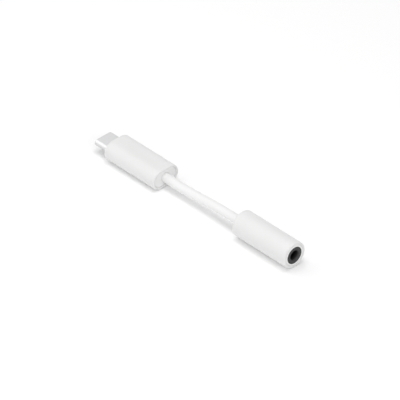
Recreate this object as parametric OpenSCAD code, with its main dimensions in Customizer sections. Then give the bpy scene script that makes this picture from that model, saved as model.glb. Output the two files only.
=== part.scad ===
// Wired digital audio adapter: a flat housing with a small metal plug, a short
// cord, and a round housing with a 3.5 mm headphone socket.
// X runs along the adapter, from the plug to the socket. Z is up.
// The origin is under the middle of the adapter, on the table it lies on.
// The two housings touch the table; the cord bridges the gap between them.

/* [Plug housing] */
// Length of the flat housing
body_l = 25.5; // [23:0.5:40]
// Width of the flat housing
body_w = 12.1; // [11.5:0.1:16]
// Height of the flat housing, and the diameter of its round sides
body_h = 7.8; // [7.2:0.1:10]
// Wall of the flat housing
body_wall = 0.9; // [0.6:0.1:1.1]
// Wall around the plug
body_front_wall = 1.2; // [0.8:0.1:1.2]
// Rounding of the edge around the plug
body_front_r = 1.0; // [0.3:0.1:1.4]
// Rounding of the rim around the end cap
body_rim_r = 0.35; // [0.1:0.05:0.5]
// Thickness of the end cap that the cord comes out of
cap_t = 1.2; // [0.8:0.1:1.6]
// Depth of the end cap below the rim
cap_recess = 0.4; // [0.1:0.1:0.8]

/* [Plug] */
// Width of the plug's metal shell
shell_w = 8.34; // [8.3:0.01:8.4]
// Height of the shell, and the diameter of its round sides
shell_h = 2.56; // [2.5:0.01:2.6]
// Sheet of the shell
shell_t = 0.2; // [0.15:0.01:0.25]
// Length of the shell that stands out of the housing
shell_out = 6.5; // [5:0.1:7]
// Whole length of the shell
shell_l = 9; // [8.9:0.1:9.1]
// Contacts in each of the two rows
contact_count = 12; // [4:2:12]
// Spacing of the contacts
contact_pitch = 0.5; // [0.4:0.01:0.5]
// Width of a contact
contact_w = 0.22; // [0.16:0.01:0.24]
// Thickness of a contact
contact_t = 0.12; // [0.08:0.01:0.14]
// Height of the slot that takes the mating tongue
tongue_slot_h = 0.84; // [0.76:0.01:0.86]
// Width of that slot
tongue_slot_w = 6.84; // [6.76:0.01:6.9]

/* [Electronics] */
// Length of the circuit board
board_l = 13.8; // [12:0.1:24]
// Thickness of the circuit board
board_t = 0.8; // [0.6:0.1:0.8]
// Sheet of the shield cans around the board
shield_t = 0.2; // [0.1:0.05:0.3]
// Side of the square audio chip
chip_w = 4.0; // [3:0.5:5]
// Height of the audio chip
chip_h = 0.8; // [0.5:0.1:1]

/* [Cord] */
// Diameter of the cord
cord_d = 3.5; // [2.8:0.1:4]
// Wall of the cord's jacket
jacket_t = 0.6; // [0.4:0.05:0.7]
// Diameter of each of the four insulated wires
wire_d = 0.7; // [0.5:0.05:0.72]

/* [Socket housing] */
// Length of the round housing
jack_l = 26.4; // [25:0.1:36]
// Diameter of the round housing
jack_d = 10.05; // [9.6:0.05:13]
// Wall of the round housing
jack_wall = 1.0; // [0.8:0.05:1.05]
// Wall at its cord end
jack_rear_wall = 1.4; // [1:0.1:1.6]
// Rounding of its edge at the cord end
jack_rear_r = 0.8; // [0.3:0.1:1.2]
// Rounding of its edge around the socket
jack_front_r = 0.5; // [0.2:0.05:0.6]

/* [Headphone socket] */
// Bore that guides a 3.5 mm headphone plug
bore_d = 3.6; // [3.55:0.01:3.65]
// Depth of the guiding bore, without its lead-in
bore_l = 1.8; // [1.2:0.1:1.8]
// Diameter of the wider bore that holds the contact springs
spring_bore_d = 4.0; // [3.95:0.05:4.2]
// Diameter of the lead-in at the mouth
mouth_d = 4.2; // [4:0.1:4.4]
// Diameter of the black face that shows in the end ring
nose_d = 6.6; // [6:0.1:7]
// Width of each contact spring
spring_w = 1.2; // [0.9:0.1:1.3]
// Thickness of each contact spring
spring_t = 0.2; // [0.12:0.01:0.22]

/* [Hidden] */
$fn = 48;

// Clearances between pieces
slip = 0.05;        // a piece pushed into or over another
sheet_gap = 0.03;   // stamped sheet lying against a moulding
seat_gap = 0.15;    // a can or a mould inside a housing
over = 1;           // how far a cutting shape runs past what it cuts

// The cord's route: distance from the plug housing's rim, and share of the climb
// from the plug housing's axis to the socket housing's axis. Its first and last
// points are the jacket's ends, and the points next to them are the housings' ends.
cord_route = [
    [-3.8, 0], [0, 0], [6, 0], [12, 0.1], [19, 0.5], [26, 0.9], [32, 1], [38, 1], [41.8, 1]
];
cord_show = cord_route[len(cord_route) - 2][0];
jacket_in = -cord_route[0][0];

// Places along the adapter
total_l = shell_out + body_l + cord_show + jack_l;
tip_x = -total_l / 2;
body_x0 = tip_x + shell_out;
body_x1 = body_x0 + body_l;
jack_x0 = body_x1 + cord_show;
jack_x1 = jack_x0 + jack_l;
body_z = body_h / 2;
jack_z = jack_d / 2;

// End cap and cord ends
cap_x1 = body_x1 - cap_recess;
cap_x0 = cap_x1 - cap_t;
crimp_t = 0.5;
crimp_l = 2.1;
crimp_d = cord_d + 2 * (slip + crimp_t);

// Plug insides, as distances behind the tip
insulator_d0 = 0.25;
insulator_d1 = 8.2;
slot_depth = 6.4;
block_d0 = insulator_d1 + slip;
block_d1 = shell_l - slip;
contact_front = 1.9;
contact_apex = 2.5;
contact_root = 5.6;
groove_top = 0.8;
groove_side = 0.04;
tail_end = 10.5;
board_d0 = shell_l + 0.1;
ground_t = 0.1;
ground_w = 5.9;
ground_fingers = 4;
ground_pitch = 1.6;
finger_w = 0.9;
latch_h = 0.3;
latch_t = 0.2;
latch_root = 7.4;
latch_slot_h = latch_h + 0.16;

shell_in_w = shell_w - 2 * shell_t;
shell_in_h = shell_h - 2 * shell_t;
insulator_w = shell_in_w - 2 * sheet_gap;
insulator_h = shell_in_h - 2 * sheet_gap;

// Shield cans and board
cavity_w = body_w - 2 * body_wall;
cavity_h = body_h - 2 * body_wall;
shield_w = cavity_w - 2 * seat_gap;
shield_h = cavity_h - 2 * seat_gap;
shield_x0 = body_x0 + body_front_wall + seat_gap;
shield_x1 = body_x1 - jacket_in - 0.4;
shield_in_w = shield_w - 2 * shield_t;
board_gap = 0.25;
board_w = shield_in_w - 2 * board_gap;
board_x0 = tip_x + board_d0;
board_x1 = board_x0 + board_l;
solder_gap = 0.02;
wire_lap = 2.2;     // length of wire lying on the board
wire_pad_y = 1.6;
wire_pad_z = board_t / 2 + solder_gap + wire_d / 2;

// Socket insides, as depths behind its front face
face_x = jack_x1 - 0.1;
ring_t = 1.2;
lead_in = 0.4;
socket_l = 15.2;
cover_t = 1.2;
tail_depth = 18;
spring_pivot = socket_l + cover_t / 2;
apex_r = 1.45;      // how near the axis a spring's bump comes
strip_r = 2.15;     // the rest of the spring, outside the bore
root_r = 2.35;
spring_room = 3.05; // outer end of the slots that the springs move in
bump_l = 0.85;
slot_side = 0.1;
sleeve_depth = 3.2;
ring_2_depth = 5.4;
ring_1_depth = 8.3;
tip_depth = 11.4;
cavity_r = jack_d / 2 - jack_wall;
socket_r = cavity_r - 0.1;
cover_x0 = face_x - socket_l - slip - cover_t;
mould_x0 = jack_x0 + jack_rear_wall + slip;
mould_x1 = cover_x0 - slip;
mould_wall = 0.9;
mould_rear = 2.55;

// The jacket is drawn over the four wires, so its bore is never narrower than they are
cord_sides = 8;
wire_gap = 0.04;
wire_offset = wire_d / 2 + wire_gap;
wires_r = (wire_offset * sqrt(2) + wire_d / 2) / cos(180 / cord_sides);
jacket_bore_r = max(cord_d / 2 - jacket_t, wires_r);
wire_reach = spring_pivot + 1.2;

function on_route(p) = [body_x1 + p[0], 0, body_z + p[1] * (jack_z - body_z)];
cord_points = [for (p = cord_route) on_route(p)];

// ---- Sweeps along a row of points ----

function unit(v) = v / norm(v);
function along(p, i) = unit(p[min(i + 1, len(p) - 1)] - p[max(i - 1, 0)]);
function up_of(t) = unit(cross(t, [0, 1, 0]));
function ring_points(c, t, r, n) = [
    for (k = [0 : n - 1])
        let (a = 360 * (k + 0.5) / n)
        c + r * (cos(a) * cross(up_of(t), t) + sin(a) * up_of(t))
];
function all_rings(p, r, n) = [
    for (i = [0 : len(p) - 1]) each ring_points(p[i], along(p, i), r, n)
];
// The wall between neighbouring rings; "start" is the number of the first ring's first point
function wall_faces(rings, n, start) = [
    for (i = [0 : rings - 2], k = [0 : n - 1])
        let (a = start + i * n + k, b = start + i * n + (k + 1) % n)
        each [[a, a + n, b + n], [a, b + n, b]]
];
function turned(faces) = [for (f = faces) [f[2], f[1], f[0]]];

module swept_rod(p, d, n) {
    points = all_rings(p, d / 2, n);
    last = (len(p) - 1) * n;
    ends = [[for (k = [0 : n - 1]) k], [for (k = [n - 1 : -1 : 0]) last + k]];
    polyhedron(points, concat(wall_faces(len(p), n, 0), ends));
}

module swept_tube(p, d, bore_r, n) {
    inner = len(p) * n;
    last = (len(p) - 1) * n;
    points = concat(all_rings(p, d / 2, n), all_rings(p, bore_r, n));
    ends = [
        for (k = [0 : n - 1])
            let (m = (k + 1) % n)
            each [
                [k, m, inner + m], [k, inner + m, inner + k],
                [last + k, inner + last + m, last + m],
                [last + k, inner + last + k, inner + last + m]
            ]
    ];
    polyhedron(points, concat(wall_faces(len(p), n, 0), turned(wall_faces(len(p), n, inner)), ends));
}

// ---- Shapes along X ----

// Half of a bar's outline: radius across, length up, both corners rounded
module half_outline(r, l, front_r, rear_r) {
    difference() {
        square([r, l]);
        if (front_r > 0) corner_cut(r, 0, front_r, 1);
        if (rear_r > 0) corner_cut(r, l, rear_r, -1);
    }
}

module corner_cut(r, y, round_r, side) {
    translate([r, y]) scale([1, side]) difference() {
        translate([-round_r, -over]) square([round_r + over, round_r + over]);
        translate([-round_r, round_r]) circle(round_r);
    }
}

// A round bar from x0 to x1
module round_bar(x0, x1, r, front_r = 0, rear_r = 0) {
    translate([x0, 0, 0]) rotate([0, 90, 0])
        rotate_extrude() half_outline(r, x1 - x0, front_r, rear_r);
}

// A flat bar with round sides from x0 to x1
module flat_bar(x0, x1, w, h, front_r = 0, rear_r = 0) {
    side_y = (w - h) / 2;
    l = x1 - x0;
    translate([x0, 0, 0]) rotate([0, 90, 0]) {
        for (m = [0, 1]) mirror([0, m, 0]) translate([0, side_y, 0])
            rotate_extrude(angle = 180) half_outline(h / 2, l, front_r, rear_r);
        rotate([90, 0, 0]) linear_extrude(height = 2 * side_y, center = true) {
            half_outline(h / 2, l, front_r, rear_r);
            mirror([1, 0]) half_outline(h / 2, l, front_r, rear_r);
        }
    }
}

// The two ends of a stretch, from its middle and half its length
function span(middle, half) = [middle - half, middle + half];

// A block from one corner to another
module block(x, y, z) {
    translate([x[0], y[0], z[0]]) cube([x[1] - x[0], y[1] - y[0], z[1] - z[0]]);
}

// A bent strip of sheet: its lower line as [x, z] points, and its thickness and width
module bent_strip(line, t, w) {
    upper = [for (i = [len(line) - 1 : -1 : 0]) line[i] + [0, t]];
    rotate([90, 0, 0]) linear_extrude(height = w, center = true) polygon(concat(line, upper));
}

// ---- Plug end ----

function contact_y(i) = (i - (contact_count - 1) / 2) * contact_pitch;

module at_plug() {
    translate([tip_x, 0, body_z]) children();
}

module plug_housing() {
    color("white") translate([0, 0, body_z]) difference() {
        flat_bar(body_x0, body_x1, body_w, body_h, body_front_r, body_rim_r);
        flat_bar(body_x0 + body_front_wall, body_x1 + over, cavity_w, cavity_h);
        flat_bar(body_x0 - over, body_x0 + body_front_wall + over,
            shell_w + 2 * slip, shell_h + 2 * slip);
    }
}

module end_cap() {
    color("whitesmoke") translate([0, 0, body_z]) difference() {
        flat_bar(cap_x0, cap_x1, cavity_w - 2 * slip, cavity_h - 2 * slip);
        round_bar(cap_x0 - over, cap_x1 + over, cord_d / 2 + slip);
    }
}

module plug_shell() {
    color("silver") at_plug() difference() {
        flat_bar(0, shell_l, shell_w, shell_h, shell_t / 2, 0);
        flat_bar(-over, shell_l + over, shell_in_w, shell_in_h);
    }
}

module plug_insulator() {
    slot_y = tongue_slot_w / 2;
    slot_z = tongue_slot_h / 2;
    side_y = slot_y - 0.22;
    color("dimgray") at_plug() difference() {
        flat_bar(insulator_d0, insulator_d1, insulator_w, insulator_h);
        block([-over, slot_depth], span(0, slot_y), span(0, slot_z));
        for (i = [0 : contact_count - 1])
            block([contact_front - 0.15, insulator_d1 + over],
                span(contact_y(i), contact_w / 2 + groove_side), span(0, groove_top));
        for (m = [0, 1]) mirror([0, m, 0])
            block([0.9, latch_root + 0.2], [side_y, shell_w], span(0, latch_slot_h / 2));
        for (m = [0, 1]) mirror([0, 0, m]) {
            block([-over, 3.5], span(0, ground_w / 2 + slip),
                [insulator_h / 2 - ground_t - sheet_gap, shell_h]);
            for (i = [0 : ground_fingers - 1])
                block([0.45, 1.6], span(finger_y(i), finger_w / 2 + slip), [0, shell_h]);
        }
    }
}

function finger_y(i) = (i - (ground_fingers - 1) / 2) * ground_pitch;

module contact_block() {
    color("black") at_plug() difference() {
        flat_bar(block_d0, block_d1, insulator_w - 2 * slip, insulator_h - 2 * slip);
        for (i = [0 : contact_count - 1], m = [0, 1]) mirror([0, 0, m])
            block([block_d0 - over, block_d1 + over],
                span(contact_y(i), contact_w / 2 + groove_side), [board_t / 2 - 0.02, groove_top]);
    }
}

module contact_row() {
    root_z = 0.5;
    line = [
        [contact_front, 0.46], [contact_apex - 0.1, 0.28], [contact_apex + 0.1, 0.28],
        [3.2, 0.41], [5.2, root_z], [contact_root, root_z]
    ];
    for (i = [0 : contact_count - 1])
        translate([0, contact_y(i), 0]) bent_strip(line, contact_t, contact_w);
}

module contacts_upper() {
    color("gold") at_plug() contact_row();
}

module contacts_lower() {
    color("gold") at_plug() mirror([0, 0, 1]) contact_row();
}

module contact_tails() {
    pad_z = board_t / 2 + solder_gap;
    line = [[contact_root + slip, 0.5], [7.9, 0.5], [8.6, pad_z], [tail_end, pad_z]];
    color("gold") at_plug()
        for (i = [0 : contact_count - 1], m = [0, 1]) mirror([0, 0, m])
            translate([0, contact_y(i), 0]) bent_strip(line, contact_t, contact_w);
}

// The arm on the +Y side, its hook pointing in at the slot
module latch_arm() {
    root_y = shell_in_w / 2 - 0.37;
    hook_y = tongue_slot_w / 2 - 0.2;
    line = [
        [1.3, root_y - 0.12], [1.9, hook_y], [2.3, hook_y],
        [2.8, root_y - 0.1], [latch_root - 1, root_y], [latch_root, root_y]
    ];
    translate([0, 0, -latch_h / 2]) linear_extrude(height = latch_h)
        polygon(concat(line, [for (i = [len(line) - 1 : -1 : 0]) line[i] + [0, latch_t]]));
}

module latch_left() {
    color("lightgray") at_plug() latch_arm();
}

module latch_right() {
    color("lightgray") at_plug() mirror([0, 1, 0]) latch_arm();
}

module ground_spring() {
    plate_z = insulator_h / 2 - ground_t;
    line = [[0.3, plate_z], [0.6, plate_z], [0.95, 0.36], [1.1, 0.36], [1.5, plate_z - 0.3]];
    difference() {
        block([0.3, 3.4], span(0, ground_w / 2), [plate_z, plate_z + ground_t]);
        for (i = [0 : ground_fingers - 1])
            block([0.5, 1.8], span(finger_y(i), finger_w / 2), span(plate_z, over));
    }
    for (i = [0 : ground_fingers - 1])
        translate([0, finger_y(i), 0]) bent_strip(line, ground_t, finger_w - 2 * slip);
}

module ground_spring_upper() {
    color("lightgray") at_plug() ground_spring();
}

module ground_spring_lower() {
    color("lightgray") at_plug() mirror([0, 0, 1]) ground_spring();
}

// One half of the can around the board; the can's split is level with the plug
module shield_half() {
    difference() {
        flat_bar(shield_x0, shield_x1, shield_w, shield_h);
        flat_bar(shield_x0 + shield_t, shield_x1 - shield_t,
            shield_in_w, shield_h - 2 * shield_t);
        flat_bar(shield_x0 - over, shield_x0 + over, shell_w + 2 * slip, shell_h + 2 * slip);
        round_bar(shield_x1 - over, shield_x1 + over, crimp_d / 2 - crimp_t);
        block([shield_x0 - over, shield_x1 + over], span(0, body_w), [-body_h, sheet_gap]);
    }
}

module shield_upper() {
    color("gainsboro") translate([0, 0, body_z]) shield_half();
}

module shield_lower() {
    color("gainsboro") translate([0, 0, body_z]) mirror([0, 0, 1]) shield_half();
}

module circuit_board() {
    color("darkgreen") translate([0, 0, body_z])
        block([board_x0, board_x1], span(0, board_w / 2), span(0, board_t / 2));
}

// Places a part on the board: distance behind its front edge, y, and the side it is on
module on_board(x, y, side = 1) {
    translate([board_x0 + x, y, body_z]) mirror([0, 0, side < 0 ? 1 : 0])
        translate([0, 0, board_t / 2 + solder_gap]) children();
}

module audio_chip() {
    color("black") on_board(5.2, 0)
        block(span(0, chip_w / 2), span(0, chip_w / 2), [0, chip_h]);
}

module regulator() {
    lead_h = 0.15;
    color("black") on_board(5.5, 0, -1) {
        block(span(0, 0.8), span(0, 1.45), [lead_h, 1.1]);
        for (y = [-0.95, 0, 0.95]) block([0.5, 1.4], span(y, 0.2), [0, 0.3]);
        for (y = [-0.95, 0.95]) block([-1.4, -0.5], span(y, 0.2), [0, 0.3]);
    }
}

// A chip part with its length along X, between two end caps a little thicker than it
module chip_part(l, w, h) {
    end_l = l / 4;
    step = 0.03;
    block(span(0, (l - end_l) / 2), span(0, w / 2 - step), [step, h - step]);
    for (s = [-1, 1]) block(span(s * (l - end_l) / 2, end_l / 2), span(0, w / 2), [0, h]);
}

module chip_capacitors() {
    color("tan") for (y = [-3.5, -2.9, 2.9, 3.5], x = [3.6, 6.2])
        on_board(x, y) chip_part(1.0, 0.5, 0.5);
    color("tan") for (y = [-3, 3]) on_board(9.2, y) chip_part(1.6, 0.8, 0.8);
}

module chip_resistors() {
    color("darkslategray") for (y = [-3.4, -2.6, 2.6, 3.4]) on_board(5.5, y, -1) chip_part(1.0, 0.5, 0.35);
    color("darkslategray") for (y = [-0.8, 0, 0.8]) on_board(9.2, y, -1) chip_part(1.0, 0.5, 0.35);
}

module solder_joints() {
    solder_r = 0.45;
    color("silver") for (s = [-1, 1], y = [-1, 1])
        on_board(board_l - wire_lap - solder_r - slip, y * wire_pad_y, s)
            rotate_extrude() intersection() {
                circle(solder_r);
                square(solder_r);
            }
}

module crimp_ring(x0) {
    difference() {
        round_bar(x0, x0 + crimp_l, crimp_d / 2);
        round_bar(x0 - over, x0 + crimp_l + over, crimp_d / 2 - crimp_t);
    }
}

module plug_crimp() {
    color("silver") translate([0, 0, body_z]) crimp_ring(body_x1 - jacket_in - 0.1);
}

// ---- Cord ----

module cord_jacket() {
    color("white") swept_tube(cord_points, cord_d, jacket_bore_r, cord_sides);
}

// A wire from its pad on the board, through the jacket, to its spring's tail.
// side_y and side_z say which of the four corners of the bundle it is in.
module wire(side_y, side_z) {
    pad = [0, side_y * wire_pad_y, body_z + side_z * wire_pad_z];
    lay = wire_offset;
    end_r = root_r - sheet_gap - wire_d / 2;
    tail = [0, side_y * end_r * cos(45), jack_z + side_z * end_r * sin(45)];
    points = concat(
        [pad + [board_x1 - wire_lap, 0, 0], pad + [board_x1 + 0.4, 0, 0]],
        [[shield_x1 - 0.9, side_y * lay, body_z + side_z * lay]],
        [for (p = cord_points) p + [0, side_y * lay, side_z * lay]],
        [tail + [face_x - tail_depth - 0.6, 0, 0], tail + [face_x - wire_reach, 0, 0]]
    );
    swept_rod(points, wire_d, cord_sides);
}

module wire_left() {
    color("seagreen") wire(1, 1);
}

module wire_right() {
    color("crimson") wire(-1, 1);
}

module wire_microphone() {
    color("royalblue") wire(1, -1);
}

module wire_ground() {
    color("peru") wire(-1, -1);
}

// ---- Socket end ----

module at_jack() {
    translate([0, 0, jack_z]) children();
}

module jack_housing() {
    color("white") at_jack() difference() {
        round_bar(jack_x0, jack_x1, jack_d / 2, jack_rear_r, jack_front_r);
        round_bar(jack_x0 + jack_rear_wall, jack_x1 + over, cavity_r);
        round_bar(jack_x0 - over, jack_x0 + jack_rear_wall + over, cord_d / 2 + 2 * slip);
    }
}

module end_ring() {
    color("whitesmoke") at_jack() difference() {
        round_bar(face_x - ring_t, face_x, cavity_r - slip);
        round_bar(face_x - ring_t - over, face_x + over, nose_d / 2 + slip);
    }
}

module spring_slot(depth, x1) {
    block([x1, face_x - depth + bump_l + slip], span(0, spring_w / 2 + slot_side), [1, spring_room]);
}

// The springs sit at the four corners round the bore: each one's turn about the axis
sleeve_turn = 45;
tip_turn = -45;
ring_1_turn = 135;
ring_2_turn = -135;

module for_each_spring() {
    spots = [
        [sleeve_turn, sleeve_depth], [tip_turn, tip_depth],
        [ring_1_turn, ring_1_depth], [ring_2_turn, ring_2_depth]
    ];
    for (s = spots) {
        $depth = s[1];
        rotate([s[0], 0, 0]) children();
    }
}

module socket_body() {
    color("black") at_jack() difference() {
        union() {
            round_bar(face_x - socket_l, face_x - ring_t - slip, socket_r);
            round_bar(face_x - ring_t - over, face_x, nose_d / 2);
        }
        round_bar(face_x - lead_in - bore_l - slip, face_x + over, bore_d / 2);
        round_bar(face_x - socket_l - over, face_x - lead_in - bore_l, spring_bore_d / 2);
        translate([face_x - lead_in, 0, 0]) rotate([0, 90, 0])
            cylinder(h = lead_in, d1 = bore_d, d2 = mouth_d);
        for_each_spring() spring_slot($depth, face_x - socket_l - over);
    }
}

module socket_cover() {
    color("dimgray") at_jack() difference() {
        round_bar(cover_x0, cover_x0 + cover_t, socket_r);
        for_each_spring()
            block([cover_x0 - over, cover_x0 + cover_t + over],
                span(0, spring_w / 2 + slot_side), [root_r - 0.15, root_r + spring_t + 0.15]);
    }
}

// A contact spring: bump in the bore, strip along its slot, tail behind the cover
module contact_spring(turn, depth) {
    line = [
        [-depth + bump_l, strip_r], [-depth + 0.15, apex_r], [-depth - 0.15, apex_r],
        [-depth - bump_l, strip_r], [-spring_pivot, root_r], [-tail_depth, root_r]
    ];
    color("khaki") at_jack() rotate([turn, 0, 0]) translate([face_x, 0, 0])
        bent_strip(line, spring_t, spring_w);
}

module tip_spring() {
    contact_spring(tip_turn, tip_depth);
}

module ring_spring_1() {
    contact_spring(ring_1_turn, ring_1_depth);
}

module ring_spring_2() {
    contact_spring(ring_2_turn, ring_2_depth);
}

module sleeve_spring() {
    contact_spring(sleeve_turn, sleeve_depth);
}

module inner_mould() {
    color("ivory") at_jack() difference() {
        round_bar(mould_x0, mould_x1, socket_r);
        round_bar(mould_x0 + mould_rear, mould_x1 + over, socket_r - mould_wall);
        round_bar(mould_x0 - over, mould_x1, crimp_d / 2 + slip);
    }
}

module jack_crimp() {
    color("silver") at_jack() crimp_ring(jack_x0 + jacket_in - crimp_l + 0.1);
}

plug_housing();
end_cap();
plug_shell();
plug_insulator();
contact_block();
contacts_upper();
contacts_lower();
contact_tails();
latch_left();
latch_right();
ground_spring_upper();
ground_spring_lower();
shield_upper();
shield_lower();
circuit_board();
audio_chip();
regulator();
chip_capacitors();
chip_resistors();
solder_joints();
plug_crimp();
cord_jacket();
wire_left();
wire_right();
wire_microphone();
wire_ground();
jack_housing();
end_ring();
socket_body();
socket_cover();
tip_spring();
ring_spring_1();
ring_spring_2();
sleeve_spring();
inner_mould();
jack_crimp();
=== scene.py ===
from math import cos, pi, radians, sin

import bmesh
import bpy
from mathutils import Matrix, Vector


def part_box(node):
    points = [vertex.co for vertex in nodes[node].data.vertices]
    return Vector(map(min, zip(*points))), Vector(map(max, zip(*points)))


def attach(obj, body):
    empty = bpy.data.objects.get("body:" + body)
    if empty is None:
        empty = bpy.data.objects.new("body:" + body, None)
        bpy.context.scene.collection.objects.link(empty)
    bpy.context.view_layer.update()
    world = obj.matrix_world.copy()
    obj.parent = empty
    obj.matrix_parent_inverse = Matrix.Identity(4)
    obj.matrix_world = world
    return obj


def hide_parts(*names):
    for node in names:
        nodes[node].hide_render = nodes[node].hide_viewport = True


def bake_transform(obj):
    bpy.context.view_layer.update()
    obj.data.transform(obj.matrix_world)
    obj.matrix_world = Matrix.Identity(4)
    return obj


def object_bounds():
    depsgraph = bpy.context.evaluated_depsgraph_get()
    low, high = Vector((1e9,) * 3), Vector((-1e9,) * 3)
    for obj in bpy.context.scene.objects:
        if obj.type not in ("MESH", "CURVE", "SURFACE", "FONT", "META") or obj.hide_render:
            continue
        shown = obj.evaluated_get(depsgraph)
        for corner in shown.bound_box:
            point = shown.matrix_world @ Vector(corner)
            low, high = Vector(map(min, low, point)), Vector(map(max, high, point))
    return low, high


# A wired audio adapter: flat plug housing, short cord, round socket housing.
# Metres, +X from the plug's tip to the socket, +Z up. Dictionaries are in millimetres.

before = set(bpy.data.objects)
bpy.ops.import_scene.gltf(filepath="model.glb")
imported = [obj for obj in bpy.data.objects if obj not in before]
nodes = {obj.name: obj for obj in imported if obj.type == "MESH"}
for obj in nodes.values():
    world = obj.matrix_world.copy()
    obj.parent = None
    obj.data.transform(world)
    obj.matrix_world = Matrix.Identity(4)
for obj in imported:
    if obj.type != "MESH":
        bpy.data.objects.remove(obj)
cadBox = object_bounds()
scene = bpy.context.scene
scene.view_settings.view_transform = "Standard"
mm = 0.001
mergeDistance = 0.001 * mm
flatAngle = 1           # degrees: faces closer than this to one plane are joined
roundAngle = 40         # edges sharper than this get a small round
smoothAngle = 32        # edges sharper than this are shaded as edges
print("frame loaded,", len(nodes), "nodes")


def linear(hexColour):
    channels = [int(hexColour[i:i + 2], 16) / 255 for i in (1, 3, 5)]
    return [c / 12.92 if c <= 0.04045 else ((c + 0.055) / 1.055) ** 2.4 for c in channels] + [1.0]


def addNode(tree, kind, inputs=None, **settings):
    # inputs maps a socket's name or number to a value, or to another node's output
    node = tree.nodes.new(kind)
    for name, value in settings.items():
        setattr(node, name, value)
    for name, value in (inputs or {}).items():
        if isinstance(value, bpy.types.NodeSocket):
            tree.links.new(value, node.inputs[name])
        else:
            node.inputs[name].default_value = value
    return node


def newMaterial(name, **shaderInputs):
    material = bpy.data.materials.new(name)
    material.use_nodes = True
    tree = material.node_tree
    tree.nodes.clear()
    shader = addNode(tree, "ShaderNodeBsdfPrincipled", shaderInputs)
    addNode(tree, "ShaderNodeOutputMaterial", {"Surface": shader.outputs["BSDF"]})
    return material, tree, shader


def aimAt(obj, target):
    obj.rotation_euler = (Vector(target) - obj.location).to_track_quat("-Z", "Y").to_euler()


def addMesh(name, points, faces):
    mesh = bpy.data.meshes.new(name)
    mesh.from_pydata(points, [], faces)
    work = bmesh.new()
    work.from_mesh(mesh)
    bmesh.ops.recalc_face_normals(work, faces=work.faces)
    work.to_mesh(mesh)
    work.free()
    mesh.polygons.foreach_set("use_smooth", [True] * len(mesh.polygons))
    mesh.set_sharp_from_angle(angle=radians(smoothAngle))
    obj = bpy.data.objects.new(name, mesh)
    scene.collection.objects.link(obj)
    return obj


camera = {
    "azimuth": 46.3,        # degrees round from the near side towards the socket
    "elevation": 36.7,
    "distance": 3090,
    "lens": 800,
    "aim": (0.95, 0.0, -1.58),      # from the middle of the CAD box
}


def addCamera():
    a = radians(camera["azimuth"])
    e = radians(camera["elevation"])
    middle = (cadBox[0] + cadBox[1]) / 2
    target = middle + Vector(camera["aim"]) * mm
    data = bpy.data.cameras.new("camera")
    data.lens = camera["lens"]
    obj = bpy.data.objects.new("camera", data)
    scene.collection.objects.link(obj)
    away = Vector((sin(a) * cos(e), -cos(a) * cos(e), sin(e)))
    obj.location = target + away * camera["distance"] * mm
    aimAt(obj, target)
    scene.camera = obj


addCamera()
print("camera placed")


# The route is the distance from the plug housing's rim and the share of the climb
# from the plug housing's axis to the socket housing's axis.
cord = {
    "diameter": 3.5,
    "bore": 2.3,
    "sides": 40,
    "steps": 8,
    "route": [(-3.8, 0), (0, 0), (6, 0), (12, 0.1), (19, 0.5), (26, 0.9), (32, 1), (38, 1), (41.8, 1)],
}
wires = {
    "diameter": 0.7,
    "lay": 0.39,        # from the cord's middle to each wire's
    "padY": 1.6,        # each wire's start from the plug's axis
    "padZ": 0.77,
    "padEnd": 2.6,      # how far a wire runs level from its start on the board
    "gather": 6.2,      # where it joins the bundle, from its start
    "tail": 1.393,      # each wire's end from the socket's axis, in Y and in Z
    "tailLength": 1.6,
    "tipRoom": 0.21,    # how far an end stands off a spring's tail that swings towards it
    "ringRoom": 0.08,
    "sides": 16,
    "steps": 5,
}
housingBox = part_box("plug_housing")
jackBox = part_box("jack_housing")
plugAxis = (housingBox[0].z + housingBox[1].z) / 2
jackAxis = (jackBox[0].z + jackBox[1].z) / 2


def smoothPath(points, steps):
    # a curve through the points, with the same slope on both sides of each
    last = len(points) - 1
    slopes = []
    for i in range(last + 1):
        a = points[max(i - 1, 0)]
        b = points[min(i + 1, last)]
        slopes.append((b - a) / (b - a).length)
    path = []
    for i in range(last):
        span = (points[i + 1] - points[i]).length
        for k in range(steps):
            t = k / steps
            path.append(
                points[i] * (1 + 2 * t) * (1 - t) ** 2
                + slopes[i] * span * t * (1 - t) ** 2
                + points[i + 1] * t * t * (3 - 2 * t)
                + slopes[i + 1] * span * t * t * (t - 1)
            )
    return path + [points[last]]


def sweptRings(path, radius, sides):
    points = []
    for i, centre in enumerate(path):
        ahead = (path[min(i + 1, len(path) - 1)] - path[max(i - 1, 0)]).normalized()
        up = ahead.cross(Vector((0, 1, 0))).normalized()
        side = up.cross(ahead)
        for k in range(sides):
            a = 2 * pi * k / sides
            points.append(centre + (side * cos(a) + up * sin(a)) * radius)
    return points


def addTube(name, path, radius, sides, bore=0):
    # a solid rod, or a tube with its two end faces
    points = sweptRings(path, radius, sides)
    rings = len(path)
    inner = len(points)
    faces = []
    for i in range(rings - 1):
        for k in range(sides):
            a = i * sides + k
            b = i * sides + (k + 1) % sides
            faces.append((a, a + sides, b + sides, b))
            if bore:
                faces.append((inner + a, inner + b, inner + b + sides, inner + a + sides))
    last = (rings - 1) * sides
    if bore:
        points += sweptRings(path, bore, sides)
        for k in range(sides):
            m = (k + 1) % sides
            faces.append((k, m, inner + m, inner + k))
            faces.append((last + k, inner + last + k, inner + last + m, last + m))
    else:
        faces.append(tuple(range(sides)))
        faces.append(tuple(last + k for k in reversed(range(sides))))
    return addMesh(name, points, faces)


def cordPoints(y=0, z=0):
    climb = jackAxis - plugAxis
    return [
        Vector((housingBox[1].x + d * mm, y, plugAxis + share * climb + z))
        for d, share in cord["route"]
    ]


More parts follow.
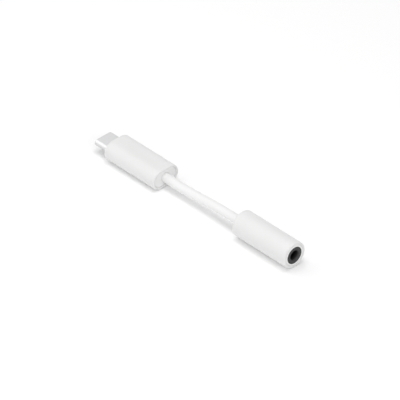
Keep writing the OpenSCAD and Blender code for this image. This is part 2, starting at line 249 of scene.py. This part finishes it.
def addWire(name, node, sideY, sideZ, room=0):
    low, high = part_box(node)
    lay = wires["lay"] * mm
    padY = sideY * wires["padY"] * mm
    padZ = plugAxis + sideZ * wires["padZ"] * mm
    tail = (wires["tail"] - room) * mm
    tailY = sideY * tail
    tailZ = jackAxis + sideZ * tail
    points = [
        Vector((low.x, padY, padZ)),
        Vector((low.x + wires["padEnd"] * mm, padY, padZ)),
        Vector((low.x + wires["gather"] * mm, sideY * lay, plugAxis + sideZ * lay)),
    ]
    points += cordPoints(sideY * lay, sideZ * lay)
    points += [
        Vector((high.x - wires["tailLength"] * mm, tailY, tailZ)),
        Vector((high.x, tailY, tailZ)),
    ]
    obj = addTube(name, smoothPath(points, wires["steps"]), wires["diameter"] / 2 * mm, wires["sides"])
    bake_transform(obj)
    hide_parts(node)
    return obj


def addCord():
    path = smoothPath(cordPoints(), cord["steps"])
    radius = cord["diameter"] / 2 * mm
    jacket = addTube("cordJacket", path, radius, cord["sides"], cord["bore"] / 2 * mm)
    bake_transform(jacket)
    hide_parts("cord_jacket")
    bundle = [
        addWire("leftWire", "wire_left", 1, 1, room=wires["tipRoom"]),
        addWire("rightWire", "wire_right", -1, 1),
        addWire("microphoneWire", "wire_microphone", 1, -1, room=wires["ringRoom"]),
        addWire("groundWire", "wire_ground", -1, -1),
    ]
    return jacket, bundle


jacket, bundle = addCord()
print("cord and wires made")


def arc(x, radius, bend, start, end, steps=8):
    # part of a circle in the lengthwise section, in degrees from +X towards outward
    found = []
    for k in range(steps + 1):
        a = radians(start + (end - start) * k / steps)
        found.append((x + bend * cos(a), radius + bend * sin(a)))
    return found


flatSpans = 6           # each flat is drawn in this many spans


def ringPoints(x, radius, flat, axisZ, steps):
    # a ring across the adapter: two half circles, joined above and below by flats
    points = []
    flatSteps = flatSpans if flat else 0
    for side in (1, -1):
        for k in range(steps + 1 if flat else steps):
            a = pi * (k / steps - 0.5)
            points.append((x, side * (flat / 2 + radius * cos(a)), axisZ + side * radius * sin(a)))
        for k in range(1, flatSteps):
            points.append((x, side * flat * (0.5 - k / flatSteps), axisZ + side * radius))
    return points


def addLoft(name, profile, axisZ, flat=0, steps=40):
    # profile is a closed row of (x, radius) or (x, radius, flat), in metres
    points = []
    for spot in profile:
        ringFlat = spot[2] if len(spot) > 2 else flat
        points += ringPoints(spot[0], spot[1], ringFlat, axisZ, steps)
    size = len(points) // len(profile)
    faces = []
    for i in range(len(profile)):
        j = (i + 1) % len(profile)
        for k in range(size):
            m = (k + 1) % size
            faces.append((i * size + k, j * size + k, j * size + m, i * size + m))
    return addMesh(name, points, faces)


housing = {
    "wall": 0.9,
    "frontWall": 1.2,
    "frontRound": 1.0,
    "rimRound": 0.44,
    "edge": 0.12,
    "shellGap": 0.05,       # all round the plug's shell
}


def addPlugHousing():
    low, high = housingBox
    radius = (high.z - low.z) / 2
    flat = (high.y - low.y) - 2 * radius
    wall = housing["wall"] * mm
    front = housing["frontRound"] * mm
    rim = housing["rimRound"] * mm
    edge = housing["edge"] * mm
    shellLow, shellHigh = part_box("plug_shell")
    gap = housing["shellGap"] * mm
    openRadius = (shellHigh.z - shellLow.z) / 2 + gap
    openFlat = (shellHigh.y - shellLow.y) + 2 * gap - 2 * openRadius
    inside = radius - wall
    x0 = low.x
    x1 = high.x
    deep = x0 + housing["frontWall"] * mm
    profile = [(x0 + edge, openRadius, openFlat)]
    profile += [(x, r, openFlat) for x, r in arc(x0 + edge, openRadius + edge, edge, 270, 180, 4)[1:]]
    profile += arc(x0 + front, radius - front, front, 180, 90, 12)
    profile += arc(x1 - rim, radius - rim, rim, 90, 0)
    profile += arc(x1 - rim, inside + rim, rim, 0, -90)
    profile += [(deep, inside), (deep, openRadius, openFlat)]
    obj = addLoft("plugHousing", profile, plugAxis, flat)
    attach(obj, "plug_end")
    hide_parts("plug_housing")
    return obj


endCap = {
    "edge": 0.05,
    "holeEdge": 0.1,
    "holeGap": 0.015,
    "holeFlat": 0.02,       # keeps the round hole's rings in step with the oval outline's
}


def addEndCap():
    low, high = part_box("end_cap")
    radius = (high.z - low.z) / 2
    flat = (high.y - low.y) - 2 * radius
    edge = endCap["edge"] * mm
    holeEdge = endCap["holeEdge"] * mm
    hole = (cord["diameter"] / 2 + endCap["holeGap"]) * mm
    holeFlat = endCap["holeFlat"] * mm
    profile = [(low.x, radius)]
    profile += arc(high.x - edge, radius - edge, edge, 90, 0, 4)
    profile += [
        (x, r, holeFlat) for x, r in arc(high.x - holeEdge, hole + holeEdge, holeEdge, 0, -90, 6)
    ]
    profile += [(low.x, hole, holeFlat)]
    obj = addLoft("endCap", profile, plugAxis, flat)
    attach(obj, "plug_end")
    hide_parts("end_cap")
    return obj


jackHousing = {
    "wall": 1.0,
    "rearWall": 1.4,
    "rearRound": 0.8,
    "frontRound": 0.5,
    "edge": 0.12,
    "holeEdge": 0.2,
}
roundSteps = 48         # half the sides of the round housing and its ring


def addJackHousing():
    low, high = jackBox
    radius = (high.y - low.y) / 2
    rear = jackHousing["rearRound"] * mm
    front = jackHousing["frontRound"] * mm
    edge = jackHousing["edge"] * mm
    holeEdge = jackHousing["holeEdge"] * mm
    inside = radius - jackHousing["wall"] * mm
    hole = (cord["diameter"] / 2 + endCap["holeGap"]) * mm
    deep = low.x + jackHousing["rearWall"] * mm
    profile = [(deep, hole)]
    profile += arc(low.x + holeEdge, hole + holeEdge, holeEdge, 270, 180, 6)
    profile += arc(low.x + rear, radius - rear, rear, 180, 90, 12)
    profile += arc(high.x - front, radius - front, front, 90, 0, 10)
    profile += arc(high.x - edge, inside + edge, edge, 0, -90, 4)
    profile += [(deep, inside)]
    obj = addLoft("jackHousing", profile, jackAxis, steps=roundSteps)
    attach(obj, "jack_end")
    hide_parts("jack_housing")
    return obj


endRing = {"bore": 6.62, "edge": 0.1, "innerEdge": 0.14}


def addEndRing():
    low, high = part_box("end_ring")
    radius = (high.y - low.y) / 2
    edge = endRing["edge"] * mm
    innerEdge = endRing["innerEdge"] * mm
    inner = endRing["bore"] / 2 * mm
    profile = [(low.x, inner), (low.x, radius)]
    profile += arc(high.x - edge, radius - edge, edge, 90, 0, 4)
    profile += arc(high.x - innerEdge, inner + innerEdge, innerEdge, 0, -90, 5)
    obj = addLoft("endRing", profile, jackAxis, steps=roundSteps)
    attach(obj, "jack_end")
    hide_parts("end_ring")
    return obj


plugShell = {"sheet": 0.2, "lip": 0.14}


def addPlugShell():
    low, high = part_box("plug_shell")
    radius = (high.z - low.z) / 2
    flat = (high.y - low.y) - 2 * radius
    sheet = plugShell["sheet"] * mm
    inside = radius - sheet
    lip = plugShell["lip"] * mm
    profile = [(high.x, inside), (high.x, radius)]
    profile += arc(low.x + lip, radius - lip, lip, 90, 180, 6)
    lipIn = sheet - lip
    profile += arc(low.x + lipIn, inside + lipIn, lipIn, 180, 270, 4)
    obj = addLoft("plugShell", profile, plugAxis, flat)
    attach(obj, "plug_end")
    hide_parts("plug_shell")
    return obj


chipParts = {"edge": 0.03, "capShare": 0.25}      # capShare is of the chip's length


def looseParts(work):
    found = []
    waiting = set(work.faces)
    while waiting:
        part = [waiting.pop()]
        for face in part:
            for edge in face.edges:
                for other in edge.link_faces:
                    if other in waiting:
                        waiting.remove(other)
                        part.append(other)
        found.append(part)
    return found


def addChips(name, node):
    # each chip's two end caps get the second material
    work = bmesh.new()
    work.from_mesh(nodes[node].data)
    bmesh.ops.remove_doubles(work, verts=work.verts, dist=mergeDistance)
    bmesh.ops.dissolve_limit(work, angle_limit=radians(flatAngle), verts=work.verts, edges=work.edges)
    for part in looseParts(work):
        along = [v.co.x for face in part for v in face.verts]
        middle = (min(along) + max(along)) / 2
        reach = (max(along) - min(along)) * (0.5 - chipParts["capShare"])
        for face in part:
            if abs(face.calc_center_median().x - middle) > reach - mergeDistance:
                face.material_index = 1
    sharp = [edge for edge in work.edges if edge.calc_face_angle(0) > radians(roundAngle)]
    bmesh.ops.bevel(
        work, geom=sharp, offset=chipParts["edge"] * mm, segments=2, profile=0.5, affect="EDGES",
    )
    mesh = bpy.data.meshes.new(name)
    work.to_mesh(mesh)
    work.free()
    mesh.polygons.foreach_set("use_smooth", [True] * len(mesh.polygons))
    mesh.set_sharp_from_angle(angle=radians(smoothAngle))
    obj = bpy.data.objects.new(name, mesh)
    scene.collection.objects.link(obj)
    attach(obj, "plug_end")
    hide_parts(node)
    return obj


sleeve = addPlugHousing()
cap = addEndCap()
jackSleeve = addJackHousing()
ring = addEndRing()
shell = addPlugShell()
capacitors = addChips("capacitors", "chip_capacitors")
resistors = addChips("resistors", "chip_resistors")
print("housings, plug shell and chips made")


def mouldedPolycarbonate():
    # white polycarbonate from a spark-eroded mould: an even satin with soft, wide highlights
    material, tree, shader = newMaterial("mouldedPolycarbonate", **{"IOR": 1.585})
    place = addNode(tree, "ShaderNodeTexCoord").outputs["Object"]
    cloud = addNode(tree, "ShaderNodeTexNoise", {"Vector": place, "Scale": 1 / (7 * mm), "Detail": 3.0})
    tone = addNode(tree, "ShaderNodeMix", {
        "Factor": cloud.outputs["Fac"], 6: linear("#e4e4e3"), 7: linear("#e8e8e8"),
    }, data_type="RGBA")
    tree.links.new(tone.outputs[2], shader.inputs["Base Color"])
    handled = addNode(tree, "ShaderNodeTexNoise", {"Vector": place, "Scale": 1 / (3 * mm), "Detail": 4.0})
    satin = addNode(tree, "ShaderNodeMapRange", {
        "Value": handled.outputs["Fac"], "From Min": 0.3, "From Max": 0.7, "To Min": 0.40, "To Max": 0.50,
    })
    tree.links.new(satin.outputs["Result"], shader.inputs["Roughness"])
    # the real grain is 0.03 mm; it is drawn at 0.3 mm so that it shows
    grain = addNode(tree, "ShaderNodeTexNoise", {"Vector": place, "Scale": 1 / (0.3 * mm), "Detail": 2.0})
    bump = addNode(tree, "ShaderNodeBump", {
        "Height": grain.outputs["Fac"], "Strength": 0.5, "Distance": 0.006 * mm,
    })
    tree.links.new(bump.outputs["Normal"], shader.inputs["Normal"])
    return material


def mattPolycarbonatePaintedLight():
    # the same plastic from a coarser mould face, flatter; its colour is a shade lighter than the
    # housing's, which is painted light that brightens the end faces where less light falls
    material, tree, shader = newMaterial("mattPolycarbonatePaintedLight", **{"IOR": 1.585})
    place = addNode(tree, "ShaderNodeTexCoord").outputs["Object"]
    cloud = addNode(tree, "ShaderNodeTexNoise", {"Vector": place, "Scale": 1 / (3 * mm), "Detail": 3.0})
    # painted light: these colours are lighter than the housing's #e4e4e3 to #e8e8e8 so that end faces,
    # which catch less light, read brighter
    tone = addNode(tree, "ShaderNodeMix", {
        "Factor": cloud.outputs["Fac"], 6: linear("#ededec"), 7: linear("#f1f1f1"),
    }, data_type="RGBA")
    tree.links.new(tone.outputs[2], shader.inputs["Base Color"])
    satin = addNode(tree, "ShaderNodeMapRange", {
        "Value": cloud.outputs["Fac"], "From Min": 0.3, "From Max": 0.7, "To Min": 0.52, "To Max": 0.62,
    })
    tree.links.new(satin.outputs["Result"], shader.inputs["Roughness"])
    grain = addNode(tree, "ShaderNodeTexNoise", {"Vector": place, "Scale": 1 / (0.25 * mm), "Detail": 2.0})
    bump = addNode(tree, "ShaderNodeBump", {
        "Height": grain.outputs["Fac"], "Strength": 0.6, "Distance": 0.008 * mm,
    })
    tree.links.new(bump.outputs["Normal"], shader.inputs["Normal"])
    return material


def extrudedElastomer():
    # white thermoplastic elastomer, drawn through a die: a soft sheen with faint lines along it
    material, tree, shader = newMaterial("extrudedElastomer", **{"IOR": 1.5})
    place = addNode(tree, "ShaderNodeTexCoord").outputs["Object"]
    cloud = addNode(tree, "ShaderNodeTexNoise", {"Vector": place, "Scale": 1 / (4 * mm), "Detail": 3.0})
    tone = addNode(tree, "ShaderNodeMix", {
        "Factor": cloud.outputs["Fac"], 6: linear("#eeeeed"), 7: linear("#f2f2f2"),
    }, data_type="RGBA")
    tree.links.new(tone.outputs[2], shader.inputs["Base Color"])
    stretched = addNode(tree, "ShaderNodeMapping", {"Vector": place, "Scale": (0.03, 1.0, 1.0)})
    lines = addNode(tree, "ShaderNodeTexNoise", {
        "Vector": stretched.outputs["Vector"], "Scale": 1 / (0.3 * mm), "Detail": 2.0,
    })
    satin = addNode(tree, "ShaderNodeMapRange", {
        "Value": lines.outputs["Fac"], "From Min": 0.3, "From Max": 0.7, "To Min": 0.36, "To Max": 0.46,
    })
    tree.links.new(satin.outputs["Result"], shader.inputs["Roughness"])
    bump = addNode(tree, "ShaderNodeBump", {
        "Height": lines.outputs["Fac"], "Strength": 0.5, "Distance": 0.008 * mm,
    })
    tree.links.new(bump.outputs["Normal"], shader.inputs["Normal"])
    return material


def metal(name, dark, light, roughness, grainSize, stretch, depth):
    # a metal's colour and roughness both follow its grain, drawn out along stretch
    material, tree, shader = newMaterial(name, **{"Metallic": 1.0})
    place = addNode(tree, "ShaderNodeTexCoord").outputs["Object"]
    drawn = addNode(tree, "ShaderNodeMapping", {"Vector": place, "Scale": stretch})
    grain = addNode(tree, "ShaderNodeTexNoise", {
        "Vector": drawn.outputs["Vector"], "Scale": 1 / (grainSize * mm), "Detail": 4.0,
    })
    tone = addNode(tree, "ShaderNodeMix", {
        "Factor": grain.outputs["Fac"], 6: linear(dark), 7: linear(light),
    }, data_type="RGBA")
    tree.links.new(tone.outputs[2], shader.inputs["Base Color"])
    satin = addNode(tree, "ShaderNodeMapRange", {
        "Value": grain.outputs["Fac"], "From Min": 0.3, "From Max": 0.7,
        "To Min": roughness[0], "To Max": roughness[1],
    })
    tree.links.new(satin.outputs["Result"], shader.inputs["Roughness"])
    bump = addNode(tree, "ShaderNodeBump", {
        "Height": grain.outputs["Fac"], "Strength": 0.5, "Distance": depth * mm,
    })
    tree.links.new(bump.outputs["Normal"], shader.inputs["Normal"])
    return material


def mouldedResin(name, dark, light, roughness, index, grainSize, depth):
    # a clouded colour over a fine grain, which its roughness and bump share
    material, tree, shader = newMaterial(name, **{"IOR": index})
    place = addNode(tree, "ShaderNodeTexCoord").outputs["Object"]
    cloud = addNode(tree, "ShaderNodeTexNoise", {
        "Vector": place, "Scale": 1 / (grainSize * 6 * mm), "Detail": 3.0,
    })
    tone = addNode(tree, "ShaderNodeMix", {
        "Factor": cloud.outputs["Fac"], 6: linear(dark), 7: linear(light),
    }, data_type="RGBA")
    tree.links.new(tone.outputs[2], shader.inputs["Base Color"])
    grain = addNode(tree, "ShaderNodeTexNoise", {
        "Vector": place, "Scale": 1 / (grainSize * mm), "Detail": 3.0,
    })
    satin = addNode(tree, "ShaderNodeMapRange", {
        "Value": grain.outputs["Fac"], "From Min": 0.3, "From Max": 0.7,
        "To Min": roughness[0], "To Max": roughness[1],
    })
    tree.links.new(satin.outputs["Result"], shader.inputs["Roughness"])
    bump = addNode(tree, "ShaderNodeBump", {
        "Height": grain.outputs["Fac"], "Strength": 0.5, "Distance": depth * mm,
    })
    tree.links.new(bump.outputs["Normal"], shader.inputs["Normal"])
    return material


whitePolycarbonate = mouldedPolycarbonate()
capPolycarbonatePaintedLight = mattPolycarbonatePaintedLight()
elastomer = extrudedElastomer()
# drawn stainless steel: bright satin, its lines along the plug
drawnStainless = metal("drawnStainless", "#cfcfd0", "#dcdcdd", (0.32, 0.44), 0.12, (0.08, 1, 1), 0.004)
# stamped spring steel: a little darker, with rolling lines
rolledSpringSteel = metal("rolledSpringSteel", "#b4b4b7", "#c8c8cb", (0.25, 0.38), 0.1, (0.1, 1, 1), 0.004)
# gold flash over nickel: warm and smooth
goldFlash = metal("goldFlash", "#d8a84e", "#eccb7c", (0.18, 0.3), 0.15, (0.3, 1, 1), 0.002)
# tinned steel sheet: cloudy and soft
tinnedSteel = metal("tinnedSteel", "#bfbfbc", "#d3d3d0", (0.35, 0.5), 0.6, (1, 1, 1), 0.004)
# reflowed solder: bright with small ripples
reflowedSolder = metal("reflowedSolder", "#b9b9bb", "#d6d6d8", (0.22, 0.4), 0.2, (1, 1, 1), 0.01)
# nickel-plated brass: a warm grey
nickeledBrass = metal("nickeledBrass", "#bdb7a8", "#d2ccbe", (0.28, 0.4), 0.2, (1, 0.2, 1), 0.004)
# drawn copper under clear enamel: reddish and glossy
enamelledCopper = metal("enamelledCopper", "#b06a3c", "#c98452", (0.25, 0.35), 0.2, (0.1, 1, 1), 0.003)
# glass-filled resin: black, a little dusty from its fibres
glassFilledResin = mouldedResin("glassFilledResin", "#1b1b1c", "#262628", (0.5, 0.62), 1.55, 0.12, 0.006)
# moulded nylon: a deeper black with a satin skin
mouldedNylon = mouldedResin("mouldedNylon", "#131314", "#1b1b1d", (0.42, 0.55), 1.53, 0.2, 0.006)
# transfer-moulded epoxy: grey-black and matt
mouldedEpoxy = mouldedResin("mouldedEpoxy", "#1f1f21", "#29292b", (0.55, 0.7), 1.55, 0.08, 0.008)
# fired ceramic: tan and chalky; the resistors' is glazed, dark and shinier
firedCeramic = mouldedResin("firedCeramic", "#8d6a45", "#a5845c", (0.45, 0.6), 1.6, 0.08, 0.005)
glazedCeramic = mouldedResin("glazedCeramic", "#1c2226", "#2b3136", (0.2, 0.35), 1.55, 0.08, 0.003)
# screen-printed mask: green with a low gloss
solderMask = mouldedResin("solderMask", "#0d4a2a", "#155a36", (0.3, 0.42), 1.5, 0.3, 0.008)
# low-pressure moulded polyamide: cream, waxy and slightly wavy
hotMeltPolyamide = mouldedResin("hotMeltPolyamide", "#ded9c9", "#e8e4d6", (0.45, 0.6), 1.53, 0.5, 0.01)
# extruded wire insulation: even, strong colours with a light sheen
greenInsulation = mouldedResin("greenInsulation", "#2a7a45", "#348b52", (0.4, 0.5), 1.5, 0.2, 0.004)
redInsulation = mouldedResin("redInsulation", "#a8222a", "#ba2e36", (0.4, 0.5), 1.5, 0.2, 0.004)
blueInsulation = mouldedResin("blueInsulation", "#23479a", "#2e56ad", (0.4, 0.5), 1.5, 0.2, 0.004)
print("materials made")


def finishPiece(obj, slot, *materials):
    for material in materials:
        obj.data.materials.append(material)


finishPiece(sleeve, "white_housing", whitePolycarbonate)
finishPiece(jackSleeve, "white_housing", whitePolycarbonate)
# the end cap and the socket's end ring take the lighter copy of the housing's plastic, painted light on
# their end faces
finishPiece(cap, "white_cap", capPolycarbonatePaintedLight)
finishPiece(ring, "white_cap", capPolycarbonatePaintedLight)
finishPiece(shell, "plug_steel", drawnStainless)
finishPiece(jacket, "cord_white", elastomer)
finishPiece(capacitors, "capacitor_ceramic", firedCeramic, reflowedSolder)
finishPiece(resistors, "resistor_ceramic", glazedCeramic, reflowedSolder)
wireFinishes = [
    (greenInsulation, "wire_green"),
    (redInsulation, "wire_red"),
    (blueInsulation, "wire_blue"),
    (enamelledCopper, "wire_copper"),
]
for wire, (material, slot) in zip(bundle, wireFinishes):
    finishPiece(wire, slot, material)

# the pieces that keep their CAD shape
nodeMaterials = {
    "plug_insulator": glassFilledResin,
    "contact_block": glassFilledResin,
    "contacts_upper": goldFlash,
    "contacts_lower": goldFlash,
    "contact_tails": goldFlash,
    "latch_left": rolledSpringSteel,
    "latch_right": rolledSpringSteel,
    "ground_spring_upper": rolledSpringSteel,
    "ground_spring_lower": rolledSpringSteel,
    "shield_upper": tinnedSteel,
    "shield_lower": tinnedSteel,
    "circuit_board": solderMask,
    "audio_chip": mouldedEpoxy,
    "regulator": mouldedEpoxy,
    "solder_joints": reflowedSolder,
    "plug_crimp": nickeledBrass,
    "socket_body": mouldedNylon,
    "socket_cover": mouldedNylon,
    "tip_spring": goldFlash,
    "ring_spring_1": goldFlash,
    "ring_spring_2": goldFlash,
    "sleeve_spring": goldFlash,
    "inner_mould": hotMeltPolyamide,
    "jack_crimp": nickeledBrass,
}
# width of the small round along each moulded or bent edge
edgeRounds = {
    "plug_insulator": 0.04,
    "contact_block": 0.05,
    "circuit_board": 0.03,
    "audio_chip": 0.04,
    "regulator": 0.03,
    "shield_upper": 0.04,
    "shield_lower": 0.04,
    "plug_crimp": 0.06,
    "socket_body": 0.08,
    "socket_cover": 0.06,
    "inner_mould": 0.1,
    "jack_crimp": 0.06,
}


def softenEdges(obj, width):
    weld = obj.modifiers.new("weld", "WELD")
    weld.merge_threshold = mergeDistance
    flats = obj.modifiers.new("flats", "DECIMATE")
    flats.decimate_type = "DISSOLVE"
    flats.angle_limit = radians(flatAngle)
    edges = obj.modifiers.new("edges", "BEVEL")
    edges.width = width * mm
    edges.segments = 2
    edges.limit_method = "ANGLE"
    edges.angle_limit = radians(roundAngle)


for name, material in nodeMaterials.items():
    nodes[name].data.materials.clear()
    nodes[name].data.materials.append(material)
    if name in edgeRounds:
        softenEdges(nodes[name], edgeRounds[name])
print("finishes given")


stage = {
    "size": 3000,
    "floorGlow": 0.09,      # what the camera sees in the floor beside the lamps' light
    "ambient": 0.5,         # the room's light, where 1 is white
}


def seenDirectly(tree):
    rays = addNode(tree, "ShaderNodeLightPath").outputs
    mirrored = addNode(tree, "ShaderNodeMath", {
        0: rays["Is Camera Ray"], 1: rays["Is Glossy Ray"],
    }, operation="MAXIMUM")
    return addNode(tree, "ShaderNodeMath", {
        0: mirrored.outputs[0], 1: rays["Is Transmission Ray"],
    }, operation="MAXIMUM").outputs[0]


def addFloor():
    half = stage["size"] / 2 * mm
    corners = [(-half, -half, 0), (half, -half, 0), (half, half, 0), (-half, half, 0)]
    obj = addMesh("floor", corners, [(0, 1, 2, 3)])
    material = bpy.data.materials.new("paleCard")
    material.use_nodes = True
    tree = material.node_tree
    tree.nodes.clear()
    card = addNode(tree, "ShaderNodeBsdfDiffuse", {"Color": linear("#fafafa")})
    strength = addNode(tree, "ShaderNodeMath", {
        0: seenDirectly(tree), 1: stage["floorGlow"],
    }, operation="MULTIPLY")
    glow = addNode(tree, "ShaderNodeEmission", {"Strength": strength.outputs[0]})
    both = addNode(tree, "ShaderNodeAddShader", {0: card.outputs[0], 1: glow.outputs[0]})
    addNode(tree, "ShaderNodeOutputMaterial", {"Surface": both.outputs[0]})
    obj.data.materials.append(material)


def addWorld():
    world = bpy.data.worlds.new("studio")
    scene.world = world
    world.use_nodes = True
    tree = world.node_tree
    tree.nodes.clear()
    strength = addNode(tree, "ShaderNodeMapRange", {
        "Value": seenDirectly(tree), "To Min": stage["ambient"], "To Max": 1.0,
    })
    sky = addNode(tree, "ShaderNodeBackground", {
        "Color": (1, 1, 1, 1), "Strength": strength.outputs["Result"],
    })
    addNode(tree, "ShaderNodeOutputWorld", {"Surface": sky.outputs[0]})


lamps = {
    "overhead": {"place": (0, 0, 550), "size": 300, "power": 1.04},
    "left": {"place": (-450, -350, 250), "size": 560, "power": 0.4},
    "upperLeft": {"place": (-340, -130, 450), "size": 480, "power": 0.32},
    "low": {"place": (100, -600, 80), "size": 400, "power": 0.62},
    "right": {"place": (560, -150, 250), "size": 400, "power": 0.72},
}


def addLamp(name, place, size, power):
    data = bpy.data.lights.new(name, "AREA")
    data.shape = "SQUARE"
    data.size = size * mm
    data.energy = power
    obj = bpy.data.objects.new(name, data)
    scene.collection.objects.link(obj)
    obj.location = Vector(place) * mm
    obj.visible_camera = False
    aimAt(obj, (0, 0, 0))


addFloor()
addWorld()
for name, lamp in lamps.items():
    addLamp(name, **lamp)
print("stage lit")
